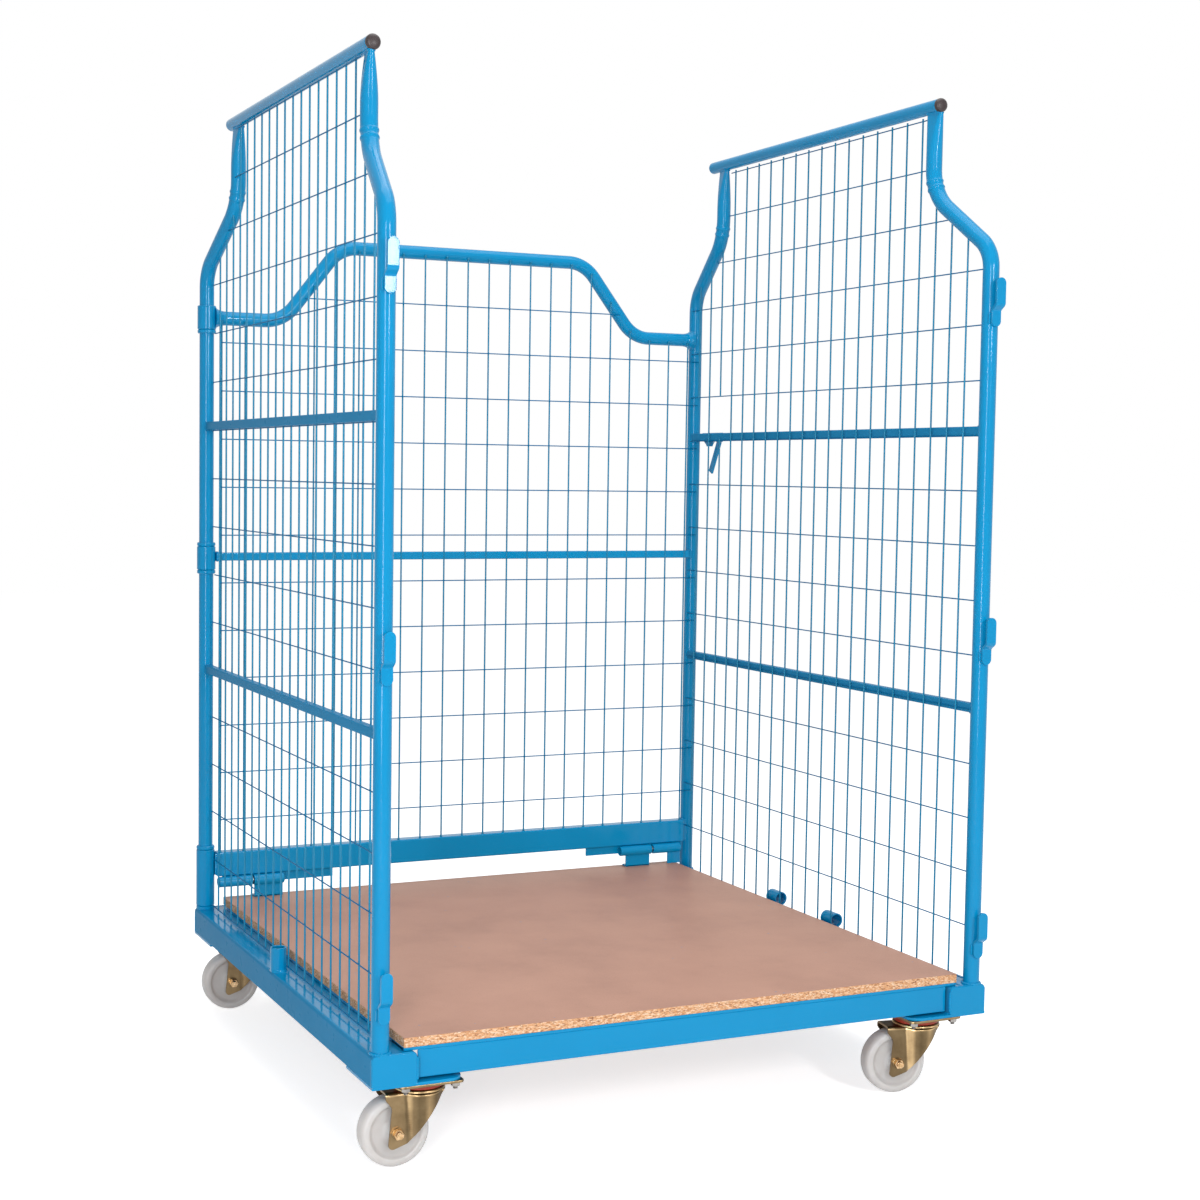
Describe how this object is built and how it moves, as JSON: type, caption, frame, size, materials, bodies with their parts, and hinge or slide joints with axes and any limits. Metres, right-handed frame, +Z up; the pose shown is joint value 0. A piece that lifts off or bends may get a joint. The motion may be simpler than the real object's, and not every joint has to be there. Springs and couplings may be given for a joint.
{
  "type": "roll cage container",
  "caption": "Roll cage container with two mesh side panels, a mesh back panel, a fold-up particle board deck and swivel casters; the front is open.",
  "frame": {"origin": "on the floor, below the middle of the whole outline", "axes": "+X to the right seen from the open front, +Y to the rear (back panel), +Z up"},
  "size_m": [1.1949, 1.1498, 1.8376],
  "materials": {
    "blue_paint": "semi-gloss powder coat",
    "particle_board": "pressed board with a smooth brown film and a raw edge",
    "white_nylon": "moulded nylon",
    "yellow_zinc": "yellow passivated zinc",
    "zinc": "bright zinc",
    "black_plastic": "moulded end cap"
  },
  "bodies": {
    "frame": {"right_front_upright": "blue_paint", "right_rear_upright": "blue_paint", "right_top_bar": "blue_paint", "right_bar_cap": "black_plastic", "right_upper_rail": "blue_paint", "right_lower_rail": "blue_paint", "right_mesh": "blue_paint", "right_base_rail": "blue_paint", "right_front_mount_plate": "blue_paint", "right_rear_mount_plate": "blue_paint", "right_lower_hook": "blue_paint", "right_middle_hook": "blue_paint", "right_upper_hook": "blue_paint", "front_tow_eye": "blue_paint", "rear_tow_eye": "blue_paint", "latch_bracket": "blue_paint", "front_right_caster_plate": "yellow_zinc", "rear_right_caster_plate": "yellow_zinc", "back_top_rail": "blue_paint", "back_mid_rail": "blue_paint", "back_bottom_beam": "blue_paint", "back_mesh": "blue_paint", "upper_sleeve": "blue_paint", "middle_sleeve": "blue_paint", "lower_sleeve": "blue_paint", "left_hinge_strip": "blue_paint", "right_hinge_strip": "blue_paint", "left_hinge_pin": "zinc", "right_hinge_pin": "zinc"},
    "left_side": {"left_front_upright": "blue_paint", "left_rear_upright": "blue_paint", "left_top_bar": "blue_paint", "left_bar_cap": "black_plastic", "left_upper_rail": "blue_paint", "left_lower_rail": "blue_paint", "left_mesh": "blue_paint", "left_base_rail": "blue_paint", "left_front_mount_plate": "blue_paint", "left_rear_mount_plate": "blue_paint", "left_lower_hook": "blue_paint", "left_middle_hook": "blue_paint", "left_upper_hook": "blue_paint", "coupling_stub": "blue_paint", "front_left_caster_plate": "yellow_zinc", "rear_left_caster_plate": "yellow_zinc"},
    "deck": {"deck_board": "particle_board", "deck_frame": "blue_paint", "deck_front_beam": "blue_paint", "left_deck_hinge": "blue_paint", "right_deck_hinge": "blue_paint"},
    "catch_lever": {"latch_lever": "blue_paint"},
    "front_left_swivel": {"front_left_caster_fork": "yellow_zinc"},
    "rear_left_swivel": {"rear_left_caster_fork": "yellow_zinc"},
    "front_right_swivel": {"front_right_caster_fork": "yellow_zinc"},
    "rear_right_swivel": {"rear_right_caster_fork": "yellow_zinc"},
    "front_left_roller": {"front_left_wheel": "white_nylon"},
    "rear_left_roller": {"rear_left_wheel": "white_nylon"},
    "front_right_roller": {"front_right_wheel": "white_nylon"},
    "rear_right_roller": {"rear_right_wheel": "white_nylon"}
  },
  "joints": [
    {"name": "left_side_swing", "type": "hinge", "parent": "frame", "child": "left_side", "pos_m": [-0.578, 0.55565, 0.909], "axis": [0, 0, -1], "range_deg": [0, 260]},
    {"name": "deck_fold", "type": "hinge", "parent": "frame", "child": "deck", "pos_m": [0, 0.52965, 0.263], "axis": [-1, 0, 0], "range_deg": [0, 90]},
    {"name": "catch_lever_swing", "type": "hinge", "parent": "frame", "child": "catch_lever", "pos_m": [0.591, 0.45265, 1.219], "axis": [1, 0, 0], "range_deg": [-28, 62]},
    {"name": "front_left_caster_swivel", "type": "hinge", "parent": "left_side", "child": "front_left_swivel", "pos_m": [-0.492, -0.49335, 0.139], "axis": [0, 0, 1], "continuous": true},
    {"name": "rear_left_caster_swivel", "type": "hinge", "parent": "left_side", "child": "rear_left_swivel", "pos_m": [-0.492, 0.50665, 0.139], "axis": [0, 0, 1], "continuous": true},
    {"name": "front_right_caster_swivel", "type": "hinge", "parent": "frame", "child": "front_right_swivel", "pos_m": [0.492, -0.49335, 0.139], "axis": [0, 0, 1], "continuous": true},
    {"name": "rear_right_caster_swivel", "type": "hinge", "parent": "frame", "child": "rear_right_swivel", "pos_m": [0.492, 0.50665, 0.139], "axis": [0, 0, 1], "continuous": true},
    {"name": "front_left_wheel_roll", "type": "hinge", "parent": "front_left_swivel", "child": "front_left_roller", "pos_m": [-0.537, -0.49335, 0.059], "axis": [0, 1, 0], "continuous": true},
    {"name": "rear_left_wheel_roll", "type": "hinge", "parent": "rear_left_swivel", "child": "rear_left_roller", "pos_m": [-0.537, 0.50665, 0.059], "axis": [0, 1, 0], "continuous": true},
    {"name": "front_right_wheel_roll", "type": "hinge", "parent": "front_right_swivel", "child": "front_right_roller", "pos_m": [0.44768, -0.48554, 0.059], "axis": [0.1736, 0.9848, 0], "continuous": true},
    {"name": "rear_right_wheel_roll", "type": "hinge", "parent": "rear_right_swivel", "child": "rear_right_roller", "pos_m": [0.447, 0.50665, 0.059], "axis": [0, 1, 0], "continuous": true}
  ]
}
